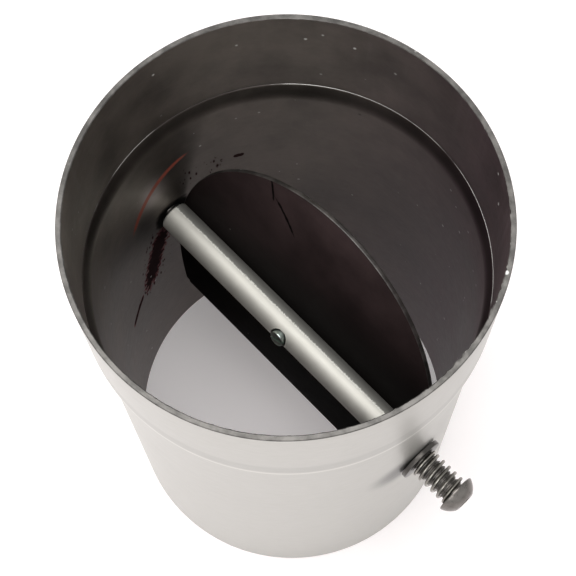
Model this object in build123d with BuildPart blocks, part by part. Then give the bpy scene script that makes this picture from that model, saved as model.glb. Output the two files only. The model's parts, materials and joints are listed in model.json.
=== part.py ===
from build123d import *

import os
from math import cos, radians, sin, sqrt

# Butterfly damper in a round duct section. Millimetres, +Z up.
# The origin is on the duct's centre line at its lower rim. The shaft lies along X: the friction
# set is at its +X end and the handle at its -X end.

# ---------------------------------------------------------------- duct section
duct_bore = 150.0             # inside diameter of the straight pipe
duct_wall = 2.0
duct_length = 250.0           # from rim to rim
socket_depth = 50.0           # how far the next pipe goes in
socket_clearance = 0.5        # radial, round the plain end of the next pipe
swage_height = 4.0            # height of the cone between pipe and socket
swage_bend = 1.5              # radius inside each bend of the cone
rim_chamfer = 0.3             # burr knocked off both rims

# ---------------------------------------------------------------- shaft
shaft_height = 125.0          # shaft axis above the lower rim
shaft_diameter = 14.0
shaft_flat_depth = 2.0        # depth of the flat that the blade lies on
shaft_end_float = 1.1         # axial room left at the handle end
shaft_end_chamfer = 0.5
tapping_runout = 3.0          # drilled depth beyond the engaged thread

# ---------------------------------------------------------------- spindle threads
thread_diameter = 10.0
thread_core_diameter = 8.5    # engaged threads are drawn at their core
thread_engagement = 14.0
thread_play = 0.05            # radial, between a drawn core and its tapped hole
journal_clearance = 0.1       # radial, thread in the duct wall's hole
rubbing_gap = 0.3             # between curved faces of different bodies

# ---------------------------------------------------------------- blade
blade_edge_clearance = 1.5    # radial, blade to bore when closed
blade_thickness = 2.0
blade_chord_offset = 42.0     # shaft axis to the straight edge
blade_corner_round = 1.5
blade_tilt = 72.0             # degrees from closed, as stored

# ---------------------------------------------------------------- blade screw and nut
blade_screw_diameter = 4.0
blade_screw_head_diameter = 7.0
blade_screw_head_height = 2.6
blade_screw_head_chamfer = 0.5
blade_screw_slot_width = 1.2
blade_screw_slot_depth = 1.1
blade_screw_slot_angle = 18.0  # degrees from the shaft axis
blade_screw_clearance = 0.2    # radial, in the shaft and the blade
blade_screw_point = 1.0        # how far the screw stands out of its nut
spot_face_diameter = 8.6
spot_face_depth = 1.3          # below the crown of the shaft
blade_nut_across_flats = 7.0
blade_nut_height = 3.2

# ---------------------------------------------------------------- friction set
washer_diameter = 20.0
washer_hole_diameter = 10.5
washer_thickness = 2.0
spring_wire = 1.4
spring_wire_sides = 8         # the round wire is drawn with this many flats
spring_pitch = 3.3
spring_active_turns = 4.75
spring_dead_turns = 1.0
spring_inside_play = 0.25     # radial, spring over the screw
coil_seat_gap = 0.05          # a coil's end to the flat face that it sits on
screw_head_diameter = 17.5
screw_head_height = 5.5
screw_head_edge = 0.7         # height of the head's plain edge
screw_head_flat_diameter = 8.8
screw_socket_across_flats = 6.0
screw_socket_depth = 3.2

# ---------------------------------------------------------------- handle
handle_stand_off = 22.0       # duct's outer face to the lever's axis
handle_bend_radius = 14.0
grip_length = 40.0
grip_strip_thickness = 1.6    # flat wire, wound with its width along the lever
grip_strip_width = 3.0
grip_pitch = 6.0
grip_inside_play = 0.3
bend_to_washer = 1.0
cap_nut_across_flats = 16.0
cap_nut_hex_height = 8.0
cap_nut_dome_diameter = 15.0
cap_nut_bore_depth = 12.0

# ---------------------------------------------------------------- worked out
duct_radius = duct_bore / 2
duct_outer_radius = duct_radius + duct_wall
socket_radius = duct_outer_radius + socket_clearance
socket_outer_radius = socket_radius + duct_wall
blade_radius = duct_radius - blade_edge_clearance
shaft_radius = shaft_diameter / 2
flat_height = shaft_radius - shaft_flat_depth
blade_back = flat_height + blade_thickness
# The shaft's round end meets the round wall at the two sides of its rim.
wall_at_shaft_rim = sqrt(duct_radius ** 2 - shaft_radius ** 2)
shaft_right_end = wall_at_shaft_rim - rubbing_gap
shaft_left_end = -(shaft_right_end - shaft_end_float)
screw_seat_height = shaft_radius - spot_face_depth
washer_start = duct_outer_radius + rubbing_gap
spring_start = washer_start + washer_thickness
spring_radius = thread_diameter / 2 + spring_inside_play + spring_wire / 2
spring_dead_pitch = spring_wire + coil_seat_gap
spring_rise = spring_dead_turns * spring_dead_pitch + spring_active_turns * spring_pitch
screw_head_start = spring_start + spring_rise + spring_wire + 2 * coil_seat_gap
lever_offset = duct_outer_radius + handle_stand_off
grip_radius = thread_diameter / 2 + grip_inside_play + grip_strip_thickness / 2
grip_washer_start = handle_bend_radius + bend_to_washer
grip_start = grip_washer_start + washer_thickness
grip_end = grip_start + grip_length

shaft_centre = Vector(0, 0, shaft_height)
shaft_axis = Axis(shaft_centre, (1, 0, 0))
tilt = radians(blade_tilt)
# Local X runs along the shaft, local Y up the blade, local Z out of its front face.
blade_frame = Plane(origin=shaft_centre, x_dir=(1, 0, 0), z_dir=(0, -sin(tilt), cos(tilt)))
# Local X runs outboard at the handle end, local Y down the blade: the lever points that way.
handle_frame = Plane(origin=shaft_centre, x_dir=(-1, 0, 0), z_dir=(0, -sin(tilt), cos(tilt)))
# Local X runs along the shaft and local Y straight up, for profiles turned about the shaft.
turning_frame = Plane(origin=shaft_centre, x_dir=(1, 0, 0), z_dir=(0, -1, 0))
lever_line = handle_frame.from_local_coords(Vector(lever_offset, 0, 0))
lever_direction = Vector(0, -cos(tilt), -sin(tilt))


def across_shaft(x):
    """A plane square to the shaft at x, its normal along +X."""
    return Plane(origin=shaft_centre + Vector(x, 0, 0), x_dir=(0, 1, 0), z_dir=(1, 0, 0))


def across_lever(distance):
    """A plane square to the lever, at a distance from the shaft axis, facing its free end."""
    return Plane(origin=lever_line + lever_direction * distance, x_dir=(1, 0, 0), z_dir=lever_direction)


def save(part, name):
    """Label a finished piece and write it to its own file."""
    part.label = name
    export_step(part, f"parts/{name}.step")


def plain_washer(seat):
    """A flat washer that stands on the given plane."""
    with BuildPart() as washer:
        with BuildSketch(seat):
            Circle(washer_diameter / 2)
            Circle(washer_hole_diameter / 2, mode=Mode.SUBTRACT)
        extrude(amount=washer_thickness)
    return washer.part


os.makedirs("parts", exist_ok=True)

# ================================================================ duct section
with BuildPart() as pipe:
    with BuildSketch(Plane.XZ):
        with BuildLine():
            bore_line = FilletPolyline(
                (duct_radius, 0),
                (duct_radius, duct_length - socket_depth - swage_height),
                (socket_radius, duct_length - socket_depth),
                (socket_radius, duct_length),
                radius=[swage_bend + duct_wall, swage_bend],
            )
            offset(bore_line, amount=duct_wall, side=Side.RIGHT, closed=True)
        make_face()
        rim_corners = vertices().group_by(Axis.Y)
        chamfer(rim_corners[0] + rim_corners[-1], rim_chamfer)
    revolve(axis=Axis.Z)
    with BuildSketch(across_shaft(0)):
        Circle(thread_diameter / 2 + journal_clearance)
    extrude(amount=socket_outer_radius, both=True, mode=Mode.SUBTRACT)
save(pipe.part, "flue_pipe")

# ================================================================ damper shaft
with BuildPart() as shaft:
    with BuildSketch(across_shaft(shaft_left_end)):
        Circle(shaft_radius)
    extrude(amount=shaft_right_end - shaft_left_end)
    chamfer(edges().filter_by(GeomType.CIRCLE), shaft_end_chamfer)
    with BuildSketch(blade_frame.offset(-flat_height)):
        Rectangle(duct_bore, shaft_diameter)
    extrude(amount=-shaft_diameter, mode=Mode.SUBTRACT)
    with BuildSketch(across_shaft(shaft_left_end)):
        Circle(thread_core_diameter / 2 + thread_play)
    extrude(amount=thread_engagement + tapping_runout, mode=Mode.SUBTRACT)
    with BuildSketch(across_shaft(shaft_right_end)):
        Circle(thread_core_diameter / 2 + thread_play)
    extrude(amount=-(thread_engagement + tapping_runout), mode=Mode.SUBTRACT)
    with BuildSketch(blade_frame):
        Circle(blade_screw_diameter / 2 + blade_screw_clearance)
    extrude(amount=shaft_diameter, both=True, mode=Mode.SUBTRACT)
    with BuildSketch(blade_frame.offset(screw_seat_height)):
        Circle(spot_face_diameter / 2)
    extrude(amount=shaft_diameter, mode=Mode.SUBTRACT)
save(shaft.part, "damper_shaft")

# ================================================================ damper blade
with BuildPart() as blade:
    with BuildSketch(blade_frame.offset(-blade_back)):
        Circle(blade_radius)
        with Locations((0, -blade_chord_offset - blade_radius)):
            Rectangle(2 * blade_radius, 2 * blade_radius, mode=Mode.SUBTRACT)
        fillet(vertices().group_by(Axis.Y)[0], blade_corner_round)
        Circle(blade_screw_diameter / 2 + blade_screw_clearance, mode=Mode.SUBTRACT)
    extrude(amount=blade_thickness)
save(blade.part, "damper_blade")

# ================================================================ blade screw and nut
blade_screw_tip = blade_back + blade_nut_height + blade_screw_point
with BuildPart() as blade_screw:
    with BuildSketch(blade_frame.offset(screw_seat_height)):
        Circle(blade_screw_head_diameter / 2)
    extrude(amount=blade_screw_head_height)
    head_rim = edges().filter_by(GeomType.CIRCLE).sort_by_distance(blade_frame.origin)[-1]
    chamfer(head_rim, blade_screw_head_chamfer)
    with BuildSketch(blade_frame.offset(screw_seat_height + blade_screw_head_height)):
        Rectangle(
            blade_screw_head_diameter,
            blade_screw_slot_width,
            rotation=blade_screw_slot_angle,
        )
    extrude(amount=-blade_screw_slot_depth, mode=Mode.SUBTRACT)
    with BuildSketch(blade_frame.offset(screw_seat_height)):
        Circle(blade_screw_diameter / 2)
    extrude(amount=-(screw_seat_height + blade_screw_tip))
save(blade_screw.part, "blade_screw")

with BuildPart() as blade_nut:
    with BuildSketch(blade_frame.offset(-blade_back)):
        RegularPolygon(blade_nut_across_flats / 2, 6, major_radius=False)
        Circle(blade_screw_diameter / 2 + thread_play, mode=Mode.SUBTRACT)
    extrude(amount=-blade_nut_height)
save(blade_nut.part, "blade_nut")

# ================================================================ friction set
save(plain_washer(across_shaft(washer_start)), "friction_washer")

with BuildPart() as spring:
    with BuildLine():
        first_turn_start = spring_start + coil_seat_gap + spring_wire / 2
        dead_turn = Helix(
            spring_dead_pitch,
            spring_dead_turns * spring_dead_pitch,
            spring_radius,
            center=shaft_centre + Vector(first_turn_start, 0, 0),
            direction=(1, 0, 0),
        )
        active_turns = Helix(
            spring_pitch,
            spring_active_turns * spring_pitch,
            spring_radius,
            center=shaft_centre + Vector(first_turn_start + spring_dead_turns * spring_dead_pitch, 0, 0),
            direction=(1, 0, 0),
        )
    with BuildSketch(Plane(origin=dead_turn @ 0, x_dir=(1, 0, 0), z_dir=dead_turn % 0)):
        RegularPolygon(
            spring_wire / 2,
            spring_wire_sides,
            major_radius=False,
            rotation=180 / spring_wire_sides,
        )
    sweep(path=Wire([dead_turn, active_turns]), is_frenet=True)
save(spring.part, "friction_spring")

with BuildPart() as friction_screw:
    with BuildSketch(turning_frame):
        with BuildLine():
            head_start = (screw_head_start, 0)
            rim_low = (screw_head_start, screw_head_diameter / 2)
            rim_high = (screw_head_start + screw_head_edge, screw_head_diameter / 2)
            crown = (screw_head_start + screw_head_height, screw_head_flat_diameter / 2)
            crown_centre = (screw_head_start + screw_head_height, 0)
            Polyline(crown_centre, head_start, rim_low, rim_high)
            TangentArc(rim_high, crown, tangent=(1, 0))
            Line(crown, crown_centre)
        make_face()
    revolve(axis=shaft_axis)
    with BuildSketch(across_shaft(shaft_right_end)):
        Circle(thread_diameter / 2)
    extrude(amount=screw_head_start - shaft_right_end)
    with BuildSketch(across_shaft(shaft_right_end)):
        Circle(thread_core_diameter / 2)
    extrude(amount=-thread_engagement)
    with BuildSketch(across_shaft(screw_head_start + screw_head_height)):
        RegularPolygon(screw_socket_across_flats / 2, 6, major_radius=False)
    extrude(amount=-screw_socket_depth, mode=Mode.SUBTRACT)
save(friction_screw.part, "friction_screw")

# ================================================================ handle
with BuildPart() as handle_rod:
    with BuildLine(handle_frame):
        rod_line = FilletPolyline(
            (-shaft_left_end, 0),
            (lever_offset, 0),
            (lever_offset, grip_end),
            radius=handle_bend_radius,
        )
    with BuildSketch(Plane(origin=rod_line @ 0, z_dir=rod_line % 0)):
        Circle(thread_diameter / 2)
    sweep()
    with BuildSketch(across_shaft(shaft_left_end)):
        Circle(thread_core_diameter / 2)
    extrude(amount=thread_engagement)
    with BuildSketch(across_lever(grip_end)):
        Circle(thread_core_diameter / 2)
    extrude(amount=cap_nut_bore_depth - tapping_runout)
save(handle_rod.part, "handle_rod")

save(plain_washer(across_lever(grip_washer_start)), "grip_washer")

with BuildPart() as grip_coil:
    with BuildLine():
        coil_start = grip_start + coil_seat_gap + grip_strip_width / 2
        coil_rise = grip_length - grip_strip_width - 2 * coil_seat_gap
        coil_line = Helix(
            grip_pitch,
            coil_rise,
            grip_radius,
            center=lever_line + lever_direction * coil_start,
            direction=lever_direction,
        )
    with BuildSketch(Plane(origin=coil_line @ 0, x_dir=lever_direction, z_dir=coil_line % 0)):
        Rectangle(grip_strip_width, grip_strip_thickness)
    sweep(is_frenet=True)
save(grip_coil.part, "grip_coil")

with BuildPart() as cap_nut:
    with BuildSketch(across_lever(grip_end)):
        RegularPolygon(cap_nut_across_flats / 2, 6, major_radius=False)
    extrude(amount=cap_nut_hex_height)
    with BuildSketch(across_lever(grip_end + cap_nut_hex_height)):
        Circle(cap_nut_dome_diameter / 2)
    extrude(amount=cap_nut_bore_depth - cap_nut_hex_height)
    dome_centre = lever_line + lever_direction * (grip_end + cap_nut_bore_depth)
    with Locations(Location(dome_centre)):
        Sphere(cap_nut_dome_diameter / 2)
    with BuildSketch(across_lever(grip_end)):
        Circle(thread_core_diameter / 2 + thread_play)
    extrude(amount=cap_nut_bore_depth, mode=Mode.SUBTRACT)
save(cap_nut.part, "grip_cap_nut")
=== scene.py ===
"""Surfaces, threads, coils and studio for a butterfly damper in a round duct section."""

import json
from math import atan2, ceil, cos, pi, radians, sin, sqrt

import bmesh
import bpy
from bpy.props import FloatProperty, FloatVectorProperty, IntProperty, PointerProperty
from mathutils import Matrix, Vector, noise


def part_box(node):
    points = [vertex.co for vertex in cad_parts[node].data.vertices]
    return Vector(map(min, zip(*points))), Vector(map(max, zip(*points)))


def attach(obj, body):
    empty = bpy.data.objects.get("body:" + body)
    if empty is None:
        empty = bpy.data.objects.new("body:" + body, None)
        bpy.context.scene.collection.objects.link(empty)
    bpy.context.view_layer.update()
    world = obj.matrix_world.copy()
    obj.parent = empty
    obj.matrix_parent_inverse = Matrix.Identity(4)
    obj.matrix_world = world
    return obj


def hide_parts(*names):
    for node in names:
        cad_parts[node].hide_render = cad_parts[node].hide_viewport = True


bl_info = {
    "name": "Round Duct Damper",
    "version": (1, 0, 0),
    "blender": (4, 5, 0),
    "location": "View3D > Sidebar > Damper",
    "description": "Builds the visible pieces of a round duct damper and a plain studio",
    "category": "Object",
}

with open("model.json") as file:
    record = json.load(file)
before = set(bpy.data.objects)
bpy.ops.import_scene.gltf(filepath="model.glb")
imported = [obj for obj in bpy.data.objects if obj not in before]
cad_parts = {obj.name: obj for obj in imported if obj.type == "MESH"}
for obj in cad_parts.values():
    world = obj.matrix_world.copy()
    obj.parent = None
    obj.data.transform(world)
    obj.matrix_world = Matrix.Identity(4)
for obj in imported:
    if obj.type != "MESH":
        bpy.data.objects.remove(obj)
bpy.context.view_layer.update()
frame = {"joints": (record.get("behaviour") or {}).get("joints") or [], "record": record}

# ---------------------------------------------------------------- sizes from the frame, in metres
MM = 0.001
mounts = {mount["name"]: mount for mount in frame["record"]["mounts"]}
shaft_centre = Vector(frame["joints"][0]["pos_m"])
shaft_direction = Vector(frame["joints"][0]["axis"])
duct_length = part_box("flue_pipe")[1].z
socket_outer_radius = min(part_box("flue_pipe")[1].x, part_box("flue_pipe")[1].y)
socket_radius = mounts["socket"]["dims"]["r_mm"] * MM
socket_depth = mounts["socket"]["dims"]["length_mm"] * MM
duct_outer_radius = mounts["spigot"]["dims"]["r_mm"] * MM
duct_wall = 2 * MM
duct_radius = duct_outer_radius - duct_wall
swage_height = 4 * MM
inner_blend_height = 9 * MM
rim_border = 1.5 * MM
rim_chamfer = 0.3 * MM
shoulder_ledge = 0.16 * MM
shoulder_drop = 0.1 * MM
# Rows this far above and below the shaft keep its holes from bending the rest of the wall's shading.
hole_border = 9 * MM

shaft_left_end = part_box("damper_shaft")[0].x
shaft_right_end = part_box("damper_shaft")[1].x
shaft_radius = 7 * MM
shaft_chamfer = 0.5 * MM
flat_height = shaft_radius - 2 * MM

blade_tilt = radians(72)
blade_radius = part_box("damper_blade")[1].x
blade_thickness = 2 * MM
blade_chord = 42 * MM
blade_corner = 1.5 * MM
blade_back = flat_height + blade_thickness

blade_screw_radius = 2 * MM
blade_screw_seat = 5.7 * MM
blade_screw_head = (3.5 * MM, 2.6 * MM)
blade_screw_slot = (1.2 * MM, 1.1 * MM)
blade_screw_turn = radians(18)
blade_screw_end = 11.2 * MM
screw_clearance = 0.2 * MM
spot_face_radius = 4.3 * MM
blade_nut_flats = 7 * MM
blade_nut_height = 3.2 * MM

thread_radius = 5 * MM
thread_core_radius = 4.25 * MM
thread_play = 0.05 * MM
thread_engagement = 14 * MM
wall_hole_radius = thread_radius + 0.1 * MM

washer_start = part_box("friction_washer")[0].x
washer_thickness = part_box("friction_washer")[1].x - washer_start
washer_radius = (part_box("friction_washer")[1].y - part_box("friction_washer")[0].y) / 2
washer_hole_radius = 5.25 * MM
spring_wire = 1.4 * MM
spring_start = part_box("friction_spring")[0].x
spring_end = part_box("friction_spring")[1].x
spring_radius = thread_radius + 0.25 * MM + spring_wire / 2
head_start = spring_end + 0.05 * MM
head_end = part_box("friction_screw")[1].x
head_radius = (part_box("friction_screw")[1].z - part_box("friction_screw")[0].z) / 2
head_edge = 0.7 * MM
head_flat_radius = 4.4 * MM
socket_flats = 6 * MM
socket_hollow = 3.2 * MM

lever_offset = 99 * MM
handle_bend = 14 * MM
grip_washer_start = 15 * MM
grip_start = grip_washer_start + washer_thickness
grip_length = 40 * MM
grip_end = grip_start + grip_length
grip_strip = (1.6 * MM, 3.0 * MM)
grip_radius = thread_radius + 0.3 * MM + grip_strip[0] / 2
cap_nut_flats = 16 * MM
cap_nut_hex_height = 8 * MM
cap_nut_dome_radius = 7.5 * MM
cap_nut_bore = 12 * MM
coil_end_gap = 0.05 * MM

# ---------------------------------------------------------------- directions
up_the_blade = Vector((0, cos(blade_tilt), sin(blade_tilt)))
blade_normal = Vector((0, -sin(blade_tilt), cos(blade_tilt)))
down_the_lever = -up_the_blade


def placed(origin, x_axis, z_axis):
    """The matrix that puts a piece made along +Z at an origin, with its X and Z axes as given."""
    y_axis = z_axis.cross(x_axis)
    turn = Matrix((x_axis, y_axis, z_axis)).transposed()
    return Matrix.Translation(origin) @ turn.to_4x4()


along_shaft = placed(shaft_centre, Vector((0, 1, 0)), shaft_direction)
off_blade = placed(shaft_centre, shaft_direction, blade_normal)
lever_top = shaft_centre - shaft_direction * lever_offset
along_lever = placed(lever_top, shaft_direction, down_the_lever)


# ================================================================ settings
def length_setting(name, description, default):
    """A length that a user may change."""
    return FloatProperty(name=name, description=description, default=default, unit="LENGTH")


def angle_setting(name, description, default):
    """An angle that a user may change, given in degrees."""
    return FloatProperty(
        name=name, description=description, default=radians(default), subtype="ANGLE"
    )


def power_setting(name, description, default):
    """A lamp's power that a user may change."""
    return FloatProperty(name=name, description=description, default=default, unit="POWER")


def colour_setting(name, description, default):
    """A colour that a user may change."""
    return FloatVectorProperty(
        name=name, description=description, default=default, size=3, subtype="COLOR", min=0, max=1
    )


class DamperSizes(bpy.types.PropertyGroup):
    """Sizes that only the visible pieces have."""

    thread_pitch: length_setting("Thread pitch", "Distance from one thread crest to the next", 1.5 * MM)
    thread_depth: length_setting("Thread depth", "Crest to root of the screw threads", 0.6 * MM)
    spring_turns: FloatProperty(
        name="Spring turns", description="Working turns of the friction spring", default=4.75
    )
    spring_pitch: length_setting("Spring pitch", "Distance between the spring's working turns", 3.3 * MM)
    grip_pitch: length_setting("Grip pitch", "Distance between the turns of the wound grip", 6 * MM)
    burr_height: length_setting("Burr height", "Depth of the ragged burr on the socket's cut rim", 0.8 * MM)
    duct_segments: IntProperty(
        name="Duct segments", description="Faces round the duct's walls", default=720, min=64
    )


class DamperFinish(bpy.types.PropertyGroup):
    """Colours of the damper's surfaces."""

    outside: colour_setting("Outside", "Satin skin of the duct", (0.395, 0.39, 0.365))
    inside: colour_setting("Inside", "Oiled inside of the duct", (0.20, 0.175, 0.172))
    cut_edge: colour_setting("Cut edge", "Sheared steel at rims and edges", (0.105, 0.10, 0.094))
    blade: colour_setting("Blade", "Dark sheet of the blade", (0.036, 0.024, 0.024))
    bright_bar: colour_setting("Bright bar", "Drawn steel of the shaft", (0.68, 0.67, 0.62))
    black_oxide: colour_setting("Black oxide", "Blackened screws and washers", (0.15, 0.14, 0.13))
    spring_wire: colour_setting("Spring wire", "Dark tempered wire", (0.22, 0.21, 0.19))
    zinc: colour_setting("Zinc", "Plating of the blade screw", (0.62, 0.72, 0.66))
    rust: colour_setting("Rust", "Thin rust line inside the duct", (0.34, 0.075, 0.045))
    stain: colour_setting("Stain", "Dark red stains inside the duct", (0.045, 0.003, 0.006))


class DamperStudio(bpy.types.PropertyGroup):
    """Light and camera."""

    camera_azimuth: angle_setting("Camera azimuth", "Direction that it looks in, from +Y towards -X", 48.2)
    camera_dip: angle_setting("Camera dip", "How far the camera looks down from level", 70.2)
    camera_roll: angle_setting("Camera roll", "Turn of the camera about its own line of sight", -2.0)
    camera_height: length_setting("Camera height", "Height of the lens above the floor", 0.7069)
    camera_back: length_setting("Camera distance", "Level distance of the lens from the duct's axis", 0.1909)
    lens: FloatProperty(name="Lens", description="Focal length on a 36 mm sensor", default=89.75)
    key_power: power_setting("Key light", "Power of the overhead softbox", 14.0)
    side_power: power_setting("Side light", "Power of each side softbox", 4.0)
    ambient: FloatProperty(
        name="Ambient", description="Level of the room's light on matt surfaces", default=0.58
    )


# ================================================================ mesh helpers
def painted(mesh, *materials):
    """Give a mesh its materials; cuts made later keep each face's own."""
    for material in materials:
        mesh.materials.append(material)
    return mesh


def finished(name, mesh, body, slot, *replaced, sharp=radians(35)):
    """Put a mesh in the scene as a piece that rides on a body and stands for its CAD nodes."""
    mesh.name = name
    mesh.shade_smooth()
    mesh.set_sharp_from_angle(angle=sharp)
    piece = bpy.data.objects.new(name, mesh)
    bpy.context.scene.collection.objects.link(piece)
    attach(piece, body)
    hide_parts(*replaced)


def as_mesh(bm, name, matrix=Matrix.Identity(4)):
    """Close a bmesh's work: join doubles, turn the faces outwards and place the result."""
    bmesh.ops.remove_doubles(bm, verts=bm.verts, dist=1e-7)
    bmesh.ops.recalc_face_normals(bm, faces=bm.faces)
    mesh = bpy.data.meshes.new(name)
    bm.to_mesh(mesh)
    bm.free()
    mesh.transform(matrix)
    return mesh


def turned(name, outline, matrix, segments=96, closed=False):
    """Turn an outline of (along, radius, material index) points about the Z axis of a matrix."""
    bm = bmesh.new()
    angles = [2 * pi * i / segments for i in range(segments)]
    rings = []
    for along, radius, _ in outline:
        if radius == 0:
            rings.append([bm.verts.new((0, 0, along))])
        else:
            rings.append([bm.verts.new((radius * cos(a), radius * sin(a), along)) for a in angles])
    followers = rings[1:] + rings[:1] if closed else rings[1:]
    for low, high, (_, _, index) in zip(rings, followers, outline):
        for i in range(segments):
            j = (i + 1) % segments
            corners = [low[i % len(low)], low[j % len(low)], high[j % len(high)], high[i % len(high)]]
            face = bm.faces.new(list(dict.fromkeys(corners)))
            face.material_index = index
    return as_mesh(bm, name, matrix)


def prism(name, sides, flats, low, high, matrix):
    """A regular prism between two heights, measured across its flats."""
    corner = flats / 2 / cos(pi / sides)
    bm = bmesh.new()
    rings = []
    for height in (low, high):
        angles = [2 * pi * i / sides for i in range(sides)]
        rings.append([bm.verts.new((corner * cos(a), corner * sin(a), height)) for a in angles])
    bm.faces.new(rings[0])
    bm.faces.new(rings[1])
    for i in range(sides):
        j = (i + 1) % sides
        bm.faces.new((rings[0][i], rings[0][j], rings[1][j], rings[1][i]))
    return as_mesh(bm, name, matrix)


def combined(mesh, other, operation):
    """The union, difference or intersection of two closed meshes."""
    target = bpy.data.objects.new("target", mesh)
    tool = bpy.data.objects.new("tool", other)
    for made in (target, tool):
        bpy.context.scene.collection.objects.link(made)
    cut = target.modifiers.new("cut", "BOOLEAN")
    cut.operation = operation
    cut.object = tool
    cut.solver = "EXACT"
    result = evaluated(target)
    bpy.data.objects.remove(tool)
    return result


def drilled(mesh, matrix, radius, low, high, segments=64, index=0):
    """A mesh with a round hole cut out of it between two heights along a matrix's Z axis."""
    outline = [(low, 0, index), (low, radius, index), (high, radius, index), (high, 0, index)]
    return combined(mesh, turned("drill", outline, matrix, segments), "DIFFERENCE")


def evaluated(made):
    """The plain mesh that an object's modifiers give; the object itself is removed."""
    graph = bpy.context.evaluated_depsgraph_get()
    result = bpy.data.meshes.new_from_object(made.evaluated_get(graph))
    bpy.data.objects.remove(made)
    return result


def rod(name, stations, around, matrix):
    """A round rod through (point, radius) stations, with its length and turn kept on each vertex."""
    bm = bmesh.new()
    length_layer = bm.verts.layers.float.new("along")
    turn_layer = bm.verts.layers.float.new("around")
    points = [Vector(point) for point, _ in stations]
    normal = Vector((0, 1, 0))
    along = 0.0
    rings = []
    for i, (point, (_, radius)) in enumerate(zip(points, stations)):
        tangent = points[min(i + 1, len(points) - 1)] - points[max(i - 1, 0)]
        tangent.normalize()
        side = normal.cross(tangent).normalized()
        along += (point - points[i - 1]).length if i else 0.0
        ring = []
        for j in range(around):
            angle = 2 * pi * j / around
            vertex = bm.verts.new(point + (side * cos(angle) + normal * sin(angle)) * radius)
            vertex[length_layer] = along
            vertex[turn_layer] = j / around
            ring.append(vertex)
        rings.append(ring)
    for low, high in zip(rings, rings[1:]):
        for j in range(around):
            k = (j + 1) % around
            bm.faces.new((low[j], low[k], high[k], high[j]))
    bm.faces.new(rings[0])
    bm.faces.new(rings[-1])
    return as_mesh(bm, name, matrix)


def straight(start, end, radius, step):
    """Stations of one radius along +Z, closely enough spaced to carry a thread."""
    count = max(1, ceil((end - start) / step))
    return [((0, 0, start + (end - start) * i / count), radius) for i in range(count + 1)]


# ================================================================ geometry node trees
class Wiring:
    """A short way to place nodes in a tree and join them."""

    def __init__(self, tree):
        self.tree = tree

    def add(self, kind, inputs=None, **settings):
        """Place a node, with values or other nodes' outputs on its inputs."""
        node = self.tree.nodes.new(kind)
        for name, value in settings.items():
            setattr(node, name, value)
        for name, value in (inputs or {}).items():
            if isinstance(value, bpy.types.NodeSocket):
                self.tree.links.new(value, node.inputs[name])
            else:
                node.inputs[name].default_value = value
        return node

    def math(self, operation, *values):
        """The result of a math node in a shader or geometry tree."""
        return self.add("ShaderNodeMath", dict(enumerate(values)), operation=operation).outputs[0]

    def vector(self, operation, first, second=(0, 0, 0)):
        """The result of a vector math node: a number for a length or distance, otherwise a vector."""
        outputs = self.add("ShaderNodeVectorMath", {0: first, 1: second}, operation=operation).outputs
        return outputs["Value" if operation in ("LENGTH", "DISTANCE") else "Vector"]

    def parts(self, vector):
        """A vector's three parts."""
        return self.add("ShaderNodeSeparateXYZ", {"Vector": vector}).outputs

    def ramp(self, value, low, high, at_low=0.0, at_high=1.0, ease="LINEAR"):
        """A value carried from one range to another, and held at its ends."""
        inputs = {"Value": value, "From Min": low, "From Max": high, "To Min": at_low, "To Max": at_high}
        return self.add("ShaderNodeMapRange", inputs, interpolation_type=ease).outputs[0]


def floats(*labels):
    """Number inputs for a geometry tree."""
    return [(label, "NodeSocketFloat") for label in labels]


def geometry_tree(name, inputs):
    """An empty geometry tree with named inputs; gives the tree, its wiring and its input sockets."""
    tree = bpy.data.node_groups.new(name, "GeometryNodeTree")
    tree.interface.new_socket("Geometry", in_out="INPUT", socket_type="NodeSocketGeometry")
    for label, kind in inputs:
        tree.interface.new_socket(label, in_out="INPUT", socket_type=kind)
    tree.interface.new_socket("Geometry", in_out="OUTPUT", socket_type="NodeSocketGeometry")
    wiring = Wiring(tree)
    return tree, wiring, wiring.add("NodeGroupInput").outputs


def close_tree(wiring, geometry, material):
    """End a geometry tree: make instances real, set the material and put the result out."""
    real = wiring.add("GeometryNodeRealizeInstances", {"Geometry": geometry}).outputs[0]
    painted = wiring.add("GeometryNodeSetMaterial", {"Geometry": real, "Material": material})
    wiring.add("NodeGroupOutput", {"Geometry": painted.outputs[0]})


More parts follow.
